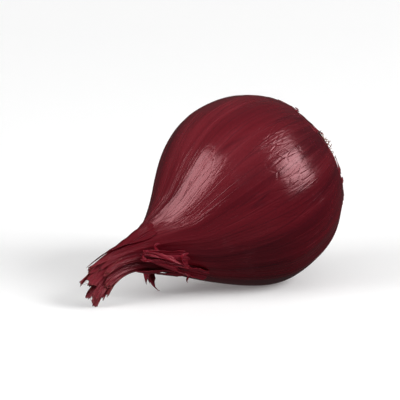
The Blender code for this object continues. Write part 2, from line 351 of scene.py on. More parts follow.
def fine_relief(z, angle):
    """The hollows, ripples and folds that are too fine for the solids."""
    spot = around(z, angle)
    radius = outline_radius(z)
    calm = socket_calm(z, radius)
    on_neck = smoothstep((z / GLOBE_RADIUS - 0.55) / 0.7)
    on_root = smoothstep((-z / ROOT_END - 0.62) / 0.3)
    dents = DENT * field(DENT_PACE * spot, 1) * (1 - 0.7 * on_neck)
    ripples = RIPPLE * field(RIPPLE_PACE * spot * (1, 1, 0.4), 2)
    drawn = angle + 0.22 * wander(angle, 31, pace=1.7) + 0.10 * np.sin(5 * z / GLOBE_RADIUS)
    folds = 1 - 1.6 * np.abs(np.sin(CREASES * drawn / 2))
    folds = folds * (0.55 + 0.45 * field(spot * (3, 3, 1.5), 3))
    crumple = field(spot * (4, 4, 3), 4) + 0.35 * field(spot * (13, 13, 5), 5)
    puckers = 1 - 1.5 * np.abs(np.sin(PUCKERS * (angle + 0.05 * wander(angle, 33, 3.0)) / 2))
    return calm * (
        dents
        + ripples
        + CREASE_DEPTH * folds * on_neck
        + CRUMPLE * crumple * smoothstep(1.5 * along_neck(z))
        + PUCKER_DEPTH * puckers * on_root
    )


def belly_reach(dip):
    """How far the belly reaches below the middle of the globe, and where along the axis it does."""
    heights = [GLOBE_RADIUS * share / 200 for share in range(200)]
    return max((outline_radius(z) * math.cos(dip) + z * math.sin(dip), z) for z in heights)


def neck_reach(dip):
    """How far the end of the neck reaches below the middle of the globe."""
    across = outline_radius(NECK_TIP) - neck_offset(NECK_TIP)
    return NECK_TIP * math.sin(dip) + across * math.cos(dip)


def rest_dip():
    """How far the neck dips below level, so that the flat spot and the neck's end touch down."""
    low, high = math.radians(10), math.radians(45)
    for _ in range(30):
        middle = (low + high) / 2
        if neck_reach(middle) < belly_reach(middle)[0] - FLAT_SPOT_DEPTH:
            low = middle
        else:
            high = middle
    return low


DIP = rest_dip()
GLOBE_HEIGHT = belly_reach(DIP)[0] - FLAT_SPOT_DEPTH
BELLY_Z = belly_reach(DIP)[1]
AHEAD = outline_radius(BELLY_Z) * math.sin(DIP) - BELLY_Z * math.cos(DIP)


def height_above_floor(points):
    x, _, z = np.moveaxis(points, -1, 0)
    return x * math.cos(DIP) - z * math.sin(DIP) + GLOBE_HEIGHT


def lay_down(points):
    """The points as the onion lies: the belly on its flat spot, and nothing below the surface."""
    x, y, z = np.moveaxis(points, -1, 0)
    ahead = -x * math.sin(DIP) - z * math.cos(DIP) - AHEAD
    return np.stack((ahead, y, np.maximum(height_above_floor(points), 0.0)), axis=-1)


def new_object(name, data):
    made = bpy.data.objects.new(name, data)
    bpy.context.scene.collection.objects.link(made)
    return made


def mesh_piece(name, points, faces, spots, dryness, material):
    """An object of the onion, laid down, with what its material reads stored on its points."""
    mesh = bpy.data.meshes.new(name)
    mesh.from_pydata(lay_down(points).tolist(), [], faces)
    store(mesh, "around", "FLOAT_VECTOR", spots)
    store(mesh, "dryness", "FLOAT", dryness)
    mesh.materials.append(material)
    mesh.shade_smooth()
    mesh.validate()
    piece = new_object(name, mesh)
    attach(piece, "root")
    return piece


def store(mesh, name, kind, values):
    layer = mesh.attributes.new(name, kind, "POINT")
    key = "vector" if kind == "FLOAT_VECTOR" else "value"
    layer.data.foreach_set(key, np.asarray(values, dtype=np.float32).ravel())


def grid_faces(rows, columns, first=0, closed=False):
    """The quads of a grid of points that are numbered row by row."""
    index = first + np.arange(rows * columns).reshape(rows, columns)
    after = np.roll(index, -1, axis=1)
    if not closed:
        index, after = index[:, :-1], after[:, :-1]
    quads = np.stack((index[:-1], after[:-1], after[1:], index[1:]), axis=-1)
    return quads.reshape(-1, 4).tolist()


def ring_faces(ring, peak):
    """Triangles from a closed ring of point numbers to one point."""
    return [(ring[i], ring[(i + 1) % len(ring)], peak) for i in range(len(ring))]


def sheet_shell(points, thickness):
    """Both sides of a thin sheet with its edges closed: the points and the faces."""
    down, over = np.gradient(points, axis=0), np.gradient(points, axis=1)
    normals = np.cross(over, down)
    normals /= np.maximum(np.linalg.norm(normals, axis=-1, keepdims=True), 1e-12)
    half = 0.5 * np.asarray(thickness)[..., None] * normals
    rows, columns = points.shape[:2]
    count = rows * columns
    faces = grid_faces(rows, columns)
    faces += [face[::-1] for face in grid_faces(rows, columns, first=count)]
    index = np.arange(count).reshape(rows, columns)
    border = [*index[0, :-1], *index[:-1, -1], *index[-1, :0:-1], *index[:0:-1, 0]]
    for a, b in zip(border, border[1:] + border[:1]):
        faces.append((int(b), int(a), int(a) + count, int(b) + count))
    return np.stack((points + half, points - half)).reshape(-1, 3), faces


class Bundle:
    """Gathers the points and faces of many small shapes into one piece."""

    def __init__(self):
        self.points, self.faces, self.spots, self.dryness = [], [], [], []

    def add(self, points, faces, spots, dryness):
        first = len(self.points)
        self.points.extend(np.asarray(points).tolist())
        self.faces.extend([[first + i for i in face] for face in faces])
        self.spots.extend(np.asarray(spots).tolist())
        self.dryness.extend(np.asarray(dryness).tolist())

    def add_sheet(self, points, thickness, spots, dryness):
        """Both sides of a thin sheet."""
        shell, faces = sheet_shell(points, thickness)
        self.add(shell, faces, np.tile(spots.reshape(-1, 3), (2, 1)), np.tile(dryness.ravel(), 2))

    def piece(self, name, material, slot):
        points = np.array(self.points)
        return mesh_piece(name, points, self.faces, self.spots, self.dryness, material)


def tube(path, radii, sides):
    """A closed tube along a path, carried along without twist: its points and faces."""
    turns = [math.tau * k / sides for k in range(sides)]
    points = []
    side = (path[1] - path[0]).orthogonal()
    for i, middle in enumerate(path):
        heading = (path[min(i + 1, len(path) - 1)] - path[max(i - 1, 0)]).normalized()
        side = (side - side.dot(heading) * heading).normalized()
        other = heading.cross(side)
        for turn in turns:
            points.append(middle + radii[i] * (math.cos(turn) * side + math.sin(turn) * other))
    faces = grid_faces(len(path), sides, closed=True)
    faces.append(list(range(sides))[::-1])
    faces.append(list(range((len(path) - 1) * sides, len(path) * sides)))
    return points, faces


def torn_edge(angle):
    """Height of the outer skin's torn edge round the root end."""
    broad = STEP_WANDER * wander(angle, 5, pace=2.6)
    fine = EDGE_JAGS[0] * wander(angle, 35, pace=11) + EDGE_JAGS[1] * wander(angle, 36, pace=30)
    return -STEP_BACK + broad + fine


def torn_ribbons(angle, seed, count, drop, depth):
    """How far below its highest point a sheath ends at each angle, and how much it splays there.
    It is torn into ribbons with slanting ends, which narrow slits part from each other."""
    draw = random.Random(seed)
    turned = np.mod(angle, math.tau)
    cuts = [k + draw.uniform(-UNEVEN_CUTS, UNEVEN_CUTS) for k in range(count)]
    cuts = [math.tau * cut / count for cut in cuts]
    fall, splay = 0 * angle, 0 * angle
    for cut, after in zip(cuts, cuts[1:] + cuts[:1]):
        share = np.mod(turned - cut, math.tau) / math.fmod(after - cut + math.tau, math.tau)
        inside = share < 1
        slant = draw.uniform(-0.5, 0.5)
        whole = draw.uniform(0.1, 0.9) ** 1.5
        ending = drop * (whole + slant * (share - 0.5) + RIBBON_POINT * (share - 0.5) ** 2)
        fall = np.where(inside, np.maximum(ending, 0), fall)
        splay = np.where(inside, draw.uniform(-0.1, 1.0) ** 2, splay)
    for cut in cuts:
        away = np.abs(np.angle(np.exp(1j * (turned - cut))))
        off = away / math.radians(draw.uniform(*SLIT_HALVES))
        deepest = depth * draw.uniform(0.4, 1.0)
        fall = np.maximum(fall, deepest * np.clip(1 - off, 0, 1) ** 0.6)
    return fall, splay


def sheaths(angle):
    """The neck's three nested sheaths, from the outermost: for each the height that it would reach
    whole, the height of its torn end and how much it splays."""
    fray = RIM_FRAY[0] * wander(angle, 44, pace=14) + RIM_FRAY[1] * wander(angle, 48, pace=37)
    resting = np.maximum(np.cos(angle + NECK_TWIST - math.pi), 0) ** 6  # where the end touches down
    made = []
    for number, (reach, sway, count, drop, depth) in enumerate(SHEATHS):
        whole = reach * GLOBE_RADIUS * (1 + sway * wander(angle, 41 + number, pace=1.6))
        fall, splay = torn_ribbons(angle, number + 1, count, drop, depth)
        rim = np.minimum(whole - fall * (1 - REST_CALM * resting) + fray, NECK_TIP)
        made.append((whole, rim, np.maximum(splay, REST_SPLAY * resting)))
    return made


def shares(count, first=0.0, last=1.0):
    """Evenly spaced shares, as a column."""
    return np.linspace(first, last, count)[:, None]


def skin_rows():
    """The skin's profile at every angle, from the root socket to inside the neck: rows of heights,
    of lifts off the mean skin and of dryness. The outer skin is torn off round the root end, where
    one sees in below it, and the neck ends in three nested sheaths."""
    angle = np.linspace(0, math.tau, SIDES, endpoint=False)[None, :]
    edge = torn_edge(angle)
    curl = EDGE_CURL * (0.35 + 0.65 * np.maximum(wander(angle, 51, pace=3.2), 0))
    heights, lifts, dryness = [], [], []

    def add(z, lift, dry):
        for rows, value in ((heights, z), (lifts, lift), (dryness, dry)):
            rows.append(np.broadcast_to(value, (len(z), SIDES)))

    def curled(z):
        return curl * smoothstep(1 - (z - edge) / EDGE_CURL_LENGTH)

    turn = np.minimum(np.arccos((edge - EDGE_CLEARANCE) / SOCKET_RIM), INNER_TURN)
    inner = SOCKET_RIM * np.cos(turn * shares(12))
    dry_root = smoothstep((-inner / ROOT_END - 0.80) / 0.17)
    add(inner, -SKIN_STEP * socket_calm(inner, outline_radius(inner)), 0.25 + 0.7 * dry_root)
    tuck = edge + EDGE_TUCK * shares(4)
    add(tuck, -SKIN_STEP, 0.3)
    back = edge + EDGE_TUCK * shares(5, 0.85, 0)
    add(back, curled(back) - PAPER - 0.35 * SKIN_STEP * (back - edge) / EDGE_TUCK, 0.9)
    near = edge + EDGE_CURL_LENGTH * shares(8)
    pale = 0.35 + 0.5 * smoothstep(0.5 + 1.4 * wander(angle, 52, pace=5.5))
    add(near, curled(near), 0.35 * (1 - shares(8)) + pale * (1 - shares(8)) ** 3)

    dome = near[-1:] + (SHOULDER - near[-1:]) * shares(DOME_ROWS, 0.01)
    add(dome, 0.0, 0.30 * smoothstep((-dome / ROOT_END - 0.35) / 0.5))

    start = np.full((1, SIDES), SHOULDER)
    depth = 0.0
    for (whole, rim, splay), rows in zip(sheaths(angle), SHEATH_ROWS):

        def flared(z):
            return RIM_FLARE * splay * np.clip(1 - (whole - z) / RIM_FLARE_LENGTH, 0, 1) ** 2

        z = start + (rim - start) * shares(rows, 1 / rows)
        dry = 0.80 * smoothstep((z / GLOBE_RADIUS - 1.05) / 1.0)
        at_rim = smoothstep(1 - (rim - z) / RIM_DRY)
        add(z, flared(z) - depth, np.maximum(dry, 0.92 * at_rim))
        z = rim - RIM_TUCK * shares(7, 0.02)
        add(z, flared(z) - depth - PAPER, 0.75)
        depth += PAPER + LAYER_GAP
        start = rim - RIM_TUCK
    well = rim - RIM_TUCK - WELL_DEPTH * shares(4, 0.3)
    add(well, -depth - WELL_TAPER * shares(4, 0.3), 0.5)
    return angle, np.concatenate(heights), np.concatenate(lifts), np.concatenate(dryness)


def build_skin(material):
    """The globe and the neck as one closed body."""
    angle, z, lift, dryness = skin_rows()
    points = skin_points(z, angle, lift + fine_relief(z, angle))
    rows, columns = z.shape
    spots = around(z, angle).reshape(-1, 3)
    floor_ring = points[0] * (1, 1, 0) + (0, 0, SOCKET_FLOOR)
    well = points[-1].mean(axis=0) - (0, 0, WELL_POINT)
    extra = np.concatenate((floor_ring, [[0, 0, SOCKET_FLOOR], well]))
    count = rows * columns
    faces = grid_faces(rows, columns, closed=True)
    top = list(range(columns))
    socket = list(range(count, count + columns))
    for i in range(columns):
        after = (i + 1) % columns
        faces.append((socket[i], socket[after], top[after], top[i]))
    faces += ring_faces(socket[::-1], count + columns)
    faces += ring_faces(list(range(count - columns, count)), count + columns + 1)
    all_points = np.concatenate((points.reshape(-1, 3), extra))
    all_spots = np.concatenate((spots, spots[:columns], [[0, 0, -1], [0, 0, 2]]))
    all_dry = np.concatenate((dryness.ravel(), np.ones(columns + 2)))
    return mesh_piece("bulb_skin", all_points, faces, all_spots, all_dry, material)


def strip_path(length, lift, bend):
    """The way that a strip takes as it lifts off the skin and its free end curls over: shares of
    its length, how far along the skin they lie, and how far off it."""
    share = np.linspace(0, 1.4, 281)
    curled = np.clip((share - CURL_START) / (1 - CURL_START), 0, 2) ** 1.3
    steep = np.arctan(1.7 * lift / length * share**0.7) + math.radians(bend) * curled
    ahead = np.concatenate(([0], np.cumsum(np.cos(steep[:-1]))))
    off = np.concatenate(([0], np.cumsum(np.sin(steep[:-1]))))
    return share, ahead * length * share[1], off * length * share[1]


def strip_points(number, spec, rows, columns, fringe, part=(-1, 1, 0, 0, 0, 0)):
    """A torn strip as rows of points, from where it is rooted in the skin to its ragged free end.
    A part of one is split from the rest: it lies between two shares of the width, and has its own
    reach, lift, swing and curl."""
    angle, rooted, free, lift, width, left, drift = spec
    low, high, further, higher, swing, bend = part
    start, end = rooted * GLOBE_RADIUS, (free + further) * GLOBE_RADIUS
    along = shares(rows)
    loose = smoothstep((along - SPLIT_START) / (1 - SPLIT_START))
    middle = (low + high) / 2
    across = np.linspace(low, high, columns) - middle
    across = middle + across * (1 - STRIP_TAPER * loose)
    own = (across[0] - middle) / (high - low) * 2
    torn = [STRIP_TEAR * noise.noise(Vector((2.3 * a, 4.1 * number, 0.5))) for a in across[0]]
    split = [fringe * noise.noise(Vector((6.5 * a, 2.7 * number, 3.1))) for a in across[0]]
    pointed = SPLIT_POINT if high - low < 1.9 else WHOLE_POINT  # a whole strip is 2 across
    torn = np.array(torn) - pointed * own**2
    split = np.array(split) * smoothstep((along - 0.5) / 0.5)
    share, ahead, off = strip_path(end - start, lift + higher, bend)
    place = along + along**2 * torn + along * split
    z = start + np.interp(place, share, ahead)
    buried = np.maximum(1 - 4 * along, 0) * (1 + 0.8 * across**2)
    rise = np.interp(place, share, off) - STRIP_SINK * buried
    rise = rise + STRIP_CLEARANCE * smoothstep(4 * along)
    taper = width * (1 - (1 - left) * along**1.4) * (0.6 + 0.4 * smoothstep(along / 0.35))
    meander = STRIP_MEANDER * np.sin(math.pi * (1.7 * along + number))
    meander = (drift + swing * loose) * along + meander
    wavy = 1 + 0.10 * np.sin(9 * along + number) + 0.06 * np.sin(23 * along + 2 * number)
    half_turn = across * taper * wavy / 2 / (outline_radius(z) + rise)
    turn = np.radians(angle + meander * along) + half_turn
    gutter = (0.45 * lift + STRIP_GUTTER) * along * across**2
    wrinkle = STRIP_WRINKLE * np.sin(5.5 * across + 3 * along + number) * smoothstep(3 * along)
    spot = np.stack(np.broadcast_arrays(2.2 * across, 7 * along, number + 0 * z), axis=-1)
    crumple = STRIP_CRUMPLE * field(spot * (1, 1, 1.7), 71) * smoothstep(2.5 * along)
    points = skin_points(z, turn, rise + gutter + wrinkle + crumple)
    return off_the_floor(points), z, turn, along + 0 * across, across + 0 * along


def off_the_floor(points):
    """The points, raised where a sheet through them would reach the floor."""
    up = (math.cos(DIP), 0, -math.sin(DIP))
    short = np.maximum(FLOOR_CLEARANCE - height_above_floor(points), 0)
    return points + short[..., None] * up


def strip_parts(number, count, lift, curl):
    """The ribbons that a strip's free end is split into."""
    draw = random.Random(300 + number)
    cuts = [-1 + 2 * (k + draw.uniform(-0.16, 0.16)) / count for k in range(1, count)]
    parts = []
    for low, high in zip([-1, *cuts], [*cuts, 1]):
        further, higher = draw.uniform(-0.10, 0.05), lift * draw.uniform(-0.40, 0.10)
        bend = curl * draw.uniform(0.5, 1.2)
        parts.append((low + 0.02, high - 0.02, further, higher, draw.uniform(-12, 12), bend))
    return parts


def build_strip(name, number, spec, curl, material, base_dry, count=1):
    """One papery strip of torn skin: a thin sheet with ragged, drier edges, split at its end."""
    strip = Bundle()
    for part in strip_parts(number, count, spec[3], curl):
        points, z, turn, along, across = strip_points(
            number, spec, STRIP_ROWS, STRIP_COLUMNS // count + 3, STRIP_FRINGE, part
        )
        thickness = PAPER * (0.35 + 0.9 * (1 - np.abs(across) ** 3)) * (1 - 0.5 * along**3)
        dry = base_dry * smoothstep(3 * along) + 0.4 * along**1.5
        dry = dry + 0.25 * along * np.abs(across) ** 3
        strip.add_sheet(points, thickness, around(z, turn), np.clip(dry, 0, 1))
    return strip.piece(name, material, "skin")


def build_ribbon(name, number, spec, material):
    """A narrow ribbon of sheath that has torn loose and curls up as it dries."""
    angle, rooted, length, width, curl, spin, slant = spec
    draw = random.Random(400 + number)
    root_z = rooted * GLOBE_RADIUS
    turn = math.radians(angle)
    aside = turn + math.radians(0.2 * slant)
    first = Vector(skin_points(root_z, turn, -RIBBON_SINK))
    ahead = Vector(skin_points(root_z + PROBE, aside, -RIBBON_SINK))
    out = (Vector(skin_points(root_z, turn, PROBE)) - first).normalized()
    heading = (ahead - first).normalized()
    out = (out - out.dot(heading) * heading).normalized()
    steps, lanes = RIBBON_STEPS, RIBBON_LANES
    point, rows = first, []
    for i in range(steps + 1):
        along = i / steps
        side = heading.cross(out)
        half = 0.5 * width * (1 - 0.9 * along**2.6) * (1 + 0.12 * math.sin(7 * along + number))
        row = []
        for lane in range(lanes):
            share = 2 * lane / (lanes - 1) - 1
            gutter = 0.22 * half * (share * share - 0.4) * smoothstep(3 * along)
            row.append(point + share * half * side + float(gutter) * out)
        rows.append(row)
        point = point + length / steps * heading
        bend = math.radians(curl) * 2.0 * (along + 0.5 / steps) ** 1.2 / steps
        bend += math.radians(draw.uniform(-5, 5))
        lean = Matrix.Rotation(bend, 3, heading.cross(out))
        heading, out = lean @ heading, lean @ out
        roll = Matrix.Rotation(math.radians(spin) / steps, 3, heading)
        out = (roll @ out).normalized()
    points = off_the_floor(np.array(rows))
    along = shares(steps + 1) + 0 * points[..., 0]
    turns = turn + 0.5 * (np.arange(lanes) / lanes) * width / RIBBON_SEAT
    spots = around(root_z + length * along, turns)
    ribbon = Bundle()
    ribbon.add_sheet(points, PAPER * (1 - 0.5 * along), spots, 0.15 + 0.45 * along)
    return ribbon.piece(name, material, "skin")


def build_shreds(material):
    """Small slivers of skin that hang on along the torn edge round the root end."""
    draw = random.Random(23)
    shreds = Bundle()
    for k in range(SHREDS):
        angle = 360 * (k + draw.uniform(0.1, 0.9)) / SHREDS
        edge = float(torn_edge(math.radians(angle))) / GLOBE_RADIUS
        length = draw.uniform(*SHRED_LENGTHS)
        lift = draw.uniform(*SHRED_LIFTS)
        width = draw.uniform(*SHRED_WIDTHS)
        drift = draw.uniform(-8, 8)
        left = draw.uniform(0.15, 0.4)
        spec = (angle, edge + SHRED_HOLD, edge - length, lift, width, left, drift)
        points, z, turn, along, _ = strip_points(100 + k, spec, *SHRED_GRID, SHRED_FRINGE)
        shreds.add_sheet(points, PAPER * (1 - 0.6 * along), around(z, turn), 0.55 + 0.35 * along)
    return shreds.piece("root_shreds", material, "skin")


def any_way_across(heading, draw):
    """A random direction at right angles to another."""
    return Vector([draw.uniform(-1, 1) for _ in range(3)]).cross(heading).normalized()


def build_fibres(material):
    """Stiff threads of dried vein that stand out where the neck's sheaths are broken off."""
    draw = random.Random(5)
    fibres = Bundle()
    for k in range(FIBRES):
        angle = math.tau * (k + draw.uniform(0, 1)) / FIBRES
        rim = float(sheaths(angle)[k % 3][1])
        depth = (k % 3) * (PAPER + LAYER_GAP)
        start = skin_points(rim - FIBRE_SINK, angle, -depth)
        lean = draw.uniform(0, FIBRE_LEAN)
        tip = skin_points(rim - FIBRE_SINK / 4, angle, -depth + lean)
        point, heading = Vector(start), Vector(tip - start).normalized()
        across = any_way_across(heading, draw)
        bend_by = Matrix.Rotation(math.radians(draw.uniform(0, 5)), 3, across)
        length = FIBRE_SINK + draw.uniform(*FIBRE_REACH)
        path, steps = [], FIBRE_STEPS
        for _ in range(steps + 1):
            path.append(point.copy())
            point = point + length / steps * heading
            heading = bend_by @ heading
        radii = [FIBRE_RADIUS * (1 - 0.6 * i / steps) for i in range(steps + 1)]
        points, faces = tube(path, radii, FIBRE_SIDES)
        spots = np.tile(around(rim, angle), (len(points), 1))
        fibres.add(points, faces, spots, np.full(len(points), 0.95))
    return fibres.piece("neck_fibres", material, "skin")


def plate_profile():
    """The root plate's profile, from its middle in the bulb to its middle outside."""
    middle = SOCKET_FLOOR - GAP
    depth = SOCKET_DEPTH - GAP + PLATE_DOME
    shares_of = ((0.25, 0), (0.6, 0), (1.0, 0), (1.0, 0.3), (0.98, 0.52), (0.93, 0.70))
    inner = [(PLATE_RADIUS * r, middle - drop * depth) for r, drop in shares_of]
    turns = [math.radians(20 + 65 * k / 14) for k in range(15)]
    dome = [(0.93 * PLATE_RADIUS * math.cos(t) / math.cos(turns[0]), t) for t in turns]
    low, high = math.sin(turns[0]), math.sin(turns[-1])
    drops = [0.72 + 0.28 * (math.sin(t) - low) / (high - low) for t in turns]
    outer = [(r, middle - depth * drop) for (r, _), drop in zip(dome, drops)]
    return inner + outer


def build_plate(material):
    """The corky root plate that the layers grow from, with the scars of old roots."""
    sides = PLATE_SIDES
    angle = np.linspace(0, math.tau, sides, endpoint=False)[None, :]
    radius, height = (np.array(values)[:, None] for values in zip(*plate_profile()))
    spot = around(height + 0 * angle, angle)
    spot[..., :2] *= (radius / PLATE_RADIUS)[..., None]
    outside = smoothstep((np.arange(len(radius))[:, None] - 4) / 3)
    coarse, fine = PLATE_KNOBS
    knobs = outside * (coarse * field(spot * 5, 81) + fine * field(spot * 13, 82))
    inward = 1 - 0.03 * outside * (1 + field(spot * 4, 83))
    reach = radius * inward
    points = np.stack((reach * np.cos(angle), reach * np.sin(angle), height - knobs), axis=-1)
    rows = len(radius)
    count = rows * sides
    faces = [face[::-1] for face in grid_faces(rows, sides, closed=True)]
    faces += ring_faces(list(range(sides)), count)
    faces += ring_faces(list(range(count - sides, count))[::-1], count + 1)
    ends = [[0, 0, height[0, 0]], [0, 0, height[-1, 0]]]
    all_points = np.concatenate((points.reshape(-1, 3), ends))
    spots = np.concatenate((spot.reshape(-1, 3), [[0, 0, -1], [0, 0, -1]]))
    dryness = np.full(len(all_points), 0.6)
    return mesh_piece("root_plate", all_points, faces, spots, dryness, material)


def build_rootlets(material):
    """The dried tuft: thin rootlets spaced by the golden angle, fanned out and curled."""
    draw = random.Random(11)
    tuft = Bundle()
    middle = Vector((0, 0, SOCKET_FLOOR - GAP))
    golden = math.pi * (3 - math.sqrt(5))
    widest, differ = ROOTLET_FAN
    for k in range(ROOTLETS):
        share = math.sqrt((k + 0.5) / ROOTLETS)
        out = Vector((math.cos(k * golden), math.sin(k * golden), 0))
        fan = math.radians(widest * share + draw.uniform(-differ, differ))
        heading = math.sin(fan) * out - Vector((0, 0, math.cos(fan)))
        dome = SOCKET_DEPTH - GAP + PLATE_DOME * (1 - 0.7 * share**2)
        point = middle + ROOTLET_SPREAD * PLATE_RADIUS * share * out
        point = point + Vector((0, 0, ROOTLET_SINK - dome))
        length = draw.uniform(*ROOTLET_LENGTHS)
        across = any_way_across(heading, draw)
        turn_by = math.radians(draw.uniform(*ROOTLET_CURLS)) * 6 / ROOTLET_STEPS
        path = []
        for _ in range(ROOTLET_STEPS + 1):
            path.append(point.copy())
            point = point + length / ROOTLET_STEPS * heading
            curl = Matrix.Rotation(turn_by * draw.uniform(0.2, 1.7), 3, across)
            heading = curl @ heading
            heading.z = min(heading.z, -0.02)
            heading.normalize()
            twist = Matrix.Rotation(math.radians(draw.uniform(-48, 48)), 3, heading)
            across = (twist @ across).normalized()
        thick = ROOTLET_RADIUS * draw.uniform(0.6, 1.0)
        knots = draw.uniform(0, 6)
        radii = [
            thick * (1 - 0.62 * i / ROOTLET_STEPS) * (1 + 0.14 * math.sin(knots + 2.1 * i))
            for i in range(ROOTLET_STEPS + 1)
        ]
        points, faces = tube(path, radii, ROOTLET_SIDES)
        steps = [i // ROOTLET_SIDES for i in range(len(points))]
        spots = [(out.x, out.y, k % 7 + step / ROOTLET_STEPS) for step in steps]
        dry = [0.25 + 0.5 * step / ROOTLET_STEPS + 0.03 * (k % 8) for step in steps]
        tuft.add(points, faces, spots, dry)
    return tuft.piece("rootlets", material, "dry_root")


class Nodes:
    """Adds nodes to the tree of a material or a world in short lines."""

    def __init__(self, owner):
        owner.use_nodes = True
        self.tree = owner.node_tree

    def add(self, kind, inputs=None, output=0, **settings):
        """A node with those settings and inputs, and its output where it has one."""
        made = self.tree.nodes.new(kind)
        for key, value in settings.items():
            setattr(made, key, value)
        for key, value in (inputs or {}).items():
            self.set(made.inputs[key], value)
        return made.outputs[output] if made.outputs else None

    def set(self, socket, value):
        if isinstance(value, bpy.types.NodeSocket):
            self.tree.links.new(value, socket)
        else:
            socket.default_value = value

    def shade(self, **values):
        """Sets or links the sockets of a material's shader."""
        shader = self.tree.nodes["Principled BSDF"]
        for key, value in values.items():
            self.set(shader.inputs[key.replace("_", " ")], value)

    def read(self, name):
        kind = 1 if name == "around" else 2  # the vector output, or the plain number
        return self.add("ShaderNodeAttribute", attribute_name=name, output=kind)

    def metres(self):
        """The place of a point in the shared frame."""
        return self.add("ShaderNodeTexCoord", output=3)

    def times(self, a, b):
        return self.add("ShaderNodeMath", {0: a, 1: b}, operation="MULTIPLY")

    def plus(self, a, b, clamp=False):
        return self.add("ShaderNodeMath", {0: a, 1: b}, operation="ADD", use_clamp=clamp)

    def scaled(self, place, fineness):
        """The place, scaled across the skin's veins and along them."""
        across, along = fineness
        inputs = {0: place, 1: (across, across, along)}
        return self.add("ShaderNodeVectorMath", inputs, operation="MULTIPLY")

    def noise(self, vector, scale, detail=3.0, roughness=0.5):
        inputs = {"Vector": vector, "Scale": scale, "Detail": detail, "Roughness": roughness}
        return self.add("ShaderNodeTexNoise", inputs)

    def grain(self, place, fineness, detail, roughness=0.5):
        return self.noise(self.scaled(place, fineness), 1.0, detail, roughness)

    def cells(self, place, fineness):
        """How far it is to the nearest border between two cells."""
        inputs = {"Vector": self.scaled(place, fineness), "Scale": 1.0}
        return self.add("ShaderNodeTexVoronoi", inputs, feature="DISTANCE_TO_EDGE")

    def spread(self, value, low, high, to_low=0.0, to_high=1.0):
        """The value's range from low to high, smoothed and mapped to another range."""
        inputs = {"Value": value, 1: low, 2: high, 3: to_low, 4: to_high}
        return self.add("ShaderNodeMapRange", inputs, interpolation_type="SMOOTHSTEP")

    def mix(self, factor, a, b):
        inputs = {0: factor, 6: a, 7: b}  # the sockets for colours
        return self.add("ShaderNodeMix", inputs, output=2, data_type="RGBA")

    def ramp(self, value, stops):
        made = self.tree.nodes.new("ShaderNodeValToRGB")
        elements = made.color_ramp.elements
        while len(elements) < len(stops):
            elements.new(0.5)
        for element, (place, colour) in zip(elements, stops):
            element.position = place
            element.color = (*colour, 1)
        self.set(made.inputs[0], value)
        return made.outputs[0]

    def bump(self, height, distance):
        inputs = {"Strength": 1.0, "Distance": distance, "Height": height}
        return self.add("ShaderNodeBump", inputs)


def skin_finish(name, papery, thin=0.0):
    """Red onion skin: deep maroon, with streaks and veins that run from the root to the neck. Where
    it is dry it turns to a duller, browner red, and at torn edges to straw."""
    material = bpy.data.materials.new(name)
    make = Nodes(material)
    place = make.read("around")
    dryness = make.read("dryness")

    broad = make.grain(place, BROAD, 2.0)
    streaks = make.grain(place, STREAKS, 5.0, 0.62)
    hairs = make.grain(place, HAIRS, 3.0, 0.6)
    colour = make.ramp(make.plus(make.times(broad, 0.65), make.times(streaks, 0.35)), MAROONS)
    veins = make.spread(make.cells(place, VEINS), 0.0, 0.045, 1.0, 0.0)
    shown = make.spread(make.grain(place, VEIN_PATCHES, 2.0), 0.35, 0.65, 0.15, 0.55)
    colour = make.mix(make.times(veins, shown), colour, VEIN)
    colour = make.mix(make.spread(hairs, 0.56, 0.74, 0.0, 0.25), colour, HAIR)

    specks = make.noise(make.metres(), BLOOM_SPECKS, 5.0, 0.65)
    bloom = make.spread(specks, 0.56, 0.76, 0.0, 0.20)
    colour = make.mix(bloom, colour, BLOOM)

    drying = make.grain(place, DRYING, 4.0, 0.6)
    browning = make.spread(make.plus(dryness, make.times(drying, 0.5)), 0.62, 1.2)
    colour = make.mix(make.times(browning, 0.85), colour, make.mix(streaks, *BROWNS))
    straw = make.spread(make.plus(dryness, make.times(hairs, 0.35)), 0.98, 1.25)
    colour = make.mix(make.times(straw, 0.60), colour, STRAW)
    # painted glow: the base colour is lifted towards bright crimson, for light shining through thin
    # skin
    if thin:
        colour = make.mix(thin, colour, PAINTED_GLOW_CRIMSON)

    rough = make.spread(streaks, 0.35, 0.70, 0.20, 0.29)
    rough = make.plus(rough, make.times(browning, 0.22), clamp=True)
    rough = make.plus(rough, make.times(bloom, 0.25), clamp=True)

    crackle = make.spread(make.cells(place, CRACKLE), 0.0, 0.14)
    crackled = make.spread(make.grain(place, CRACKLE_PATCHES, 2.0), 0.40, 0.60, 0.10, 0.36)
    wrinkles = make.grain(place, WRINKLES, 4.0, 0.6)
    height = make.plus(make.times(hairs, 0.16), make.times(veins, 0.20))
    height = make.plus(height, make.times(crackle, crackled))
    height = make.plus(height, make.times(wrinkles, 0.60))
    normal = make.bump(height, PAPER_BUMP if papery else SKIN_BUMP)
    make.shade(Base_Color=colour, Roughness=rough, Normal=normal)
    make.shade(Specular_IOR_Level=0.38 if papery else 0.58, Specular_Tint=SHEEN)
    make.shade(Subsurface_Weight=0.12 if papery else 0.04, Subsurface_Scale=1.0)
    make.shade(Subsurface_Radius=(0.0016, 0.0005, 0.0004))
    return material


def root_finish(name, light, dark, grain):
    """Dry, corky root: tan with brown ends and darker scars."""
    material = bpy.data.materials.new(name)
    make = Nodes(material)
    place = make.metres()
    dryness = make.read("dryness")
    patches = make.noise(place, 0.35 * grain, 4.0, 0.6)
    fine = make.noise(place, grain, 5.0, 0.65)
    tone = make.plus(make.times(patches, 0.6), make.times(dryness, 0.45))
    colour = make.mix(make.spread(tone, 0.38, 0.80), (*light, 1), (*dark, 1))
    colour = make.mix(make.spread(fine, 0.55, 0.75, 0.0, 0.5), colour, ROOT_SCAR)
    make.shade(Base_Color=colour, Normal=make.bump(fine, ROOT_BUMP))
    make.shade(Roughness=0.86, Specular_IOR_Level=0.25)
    return material


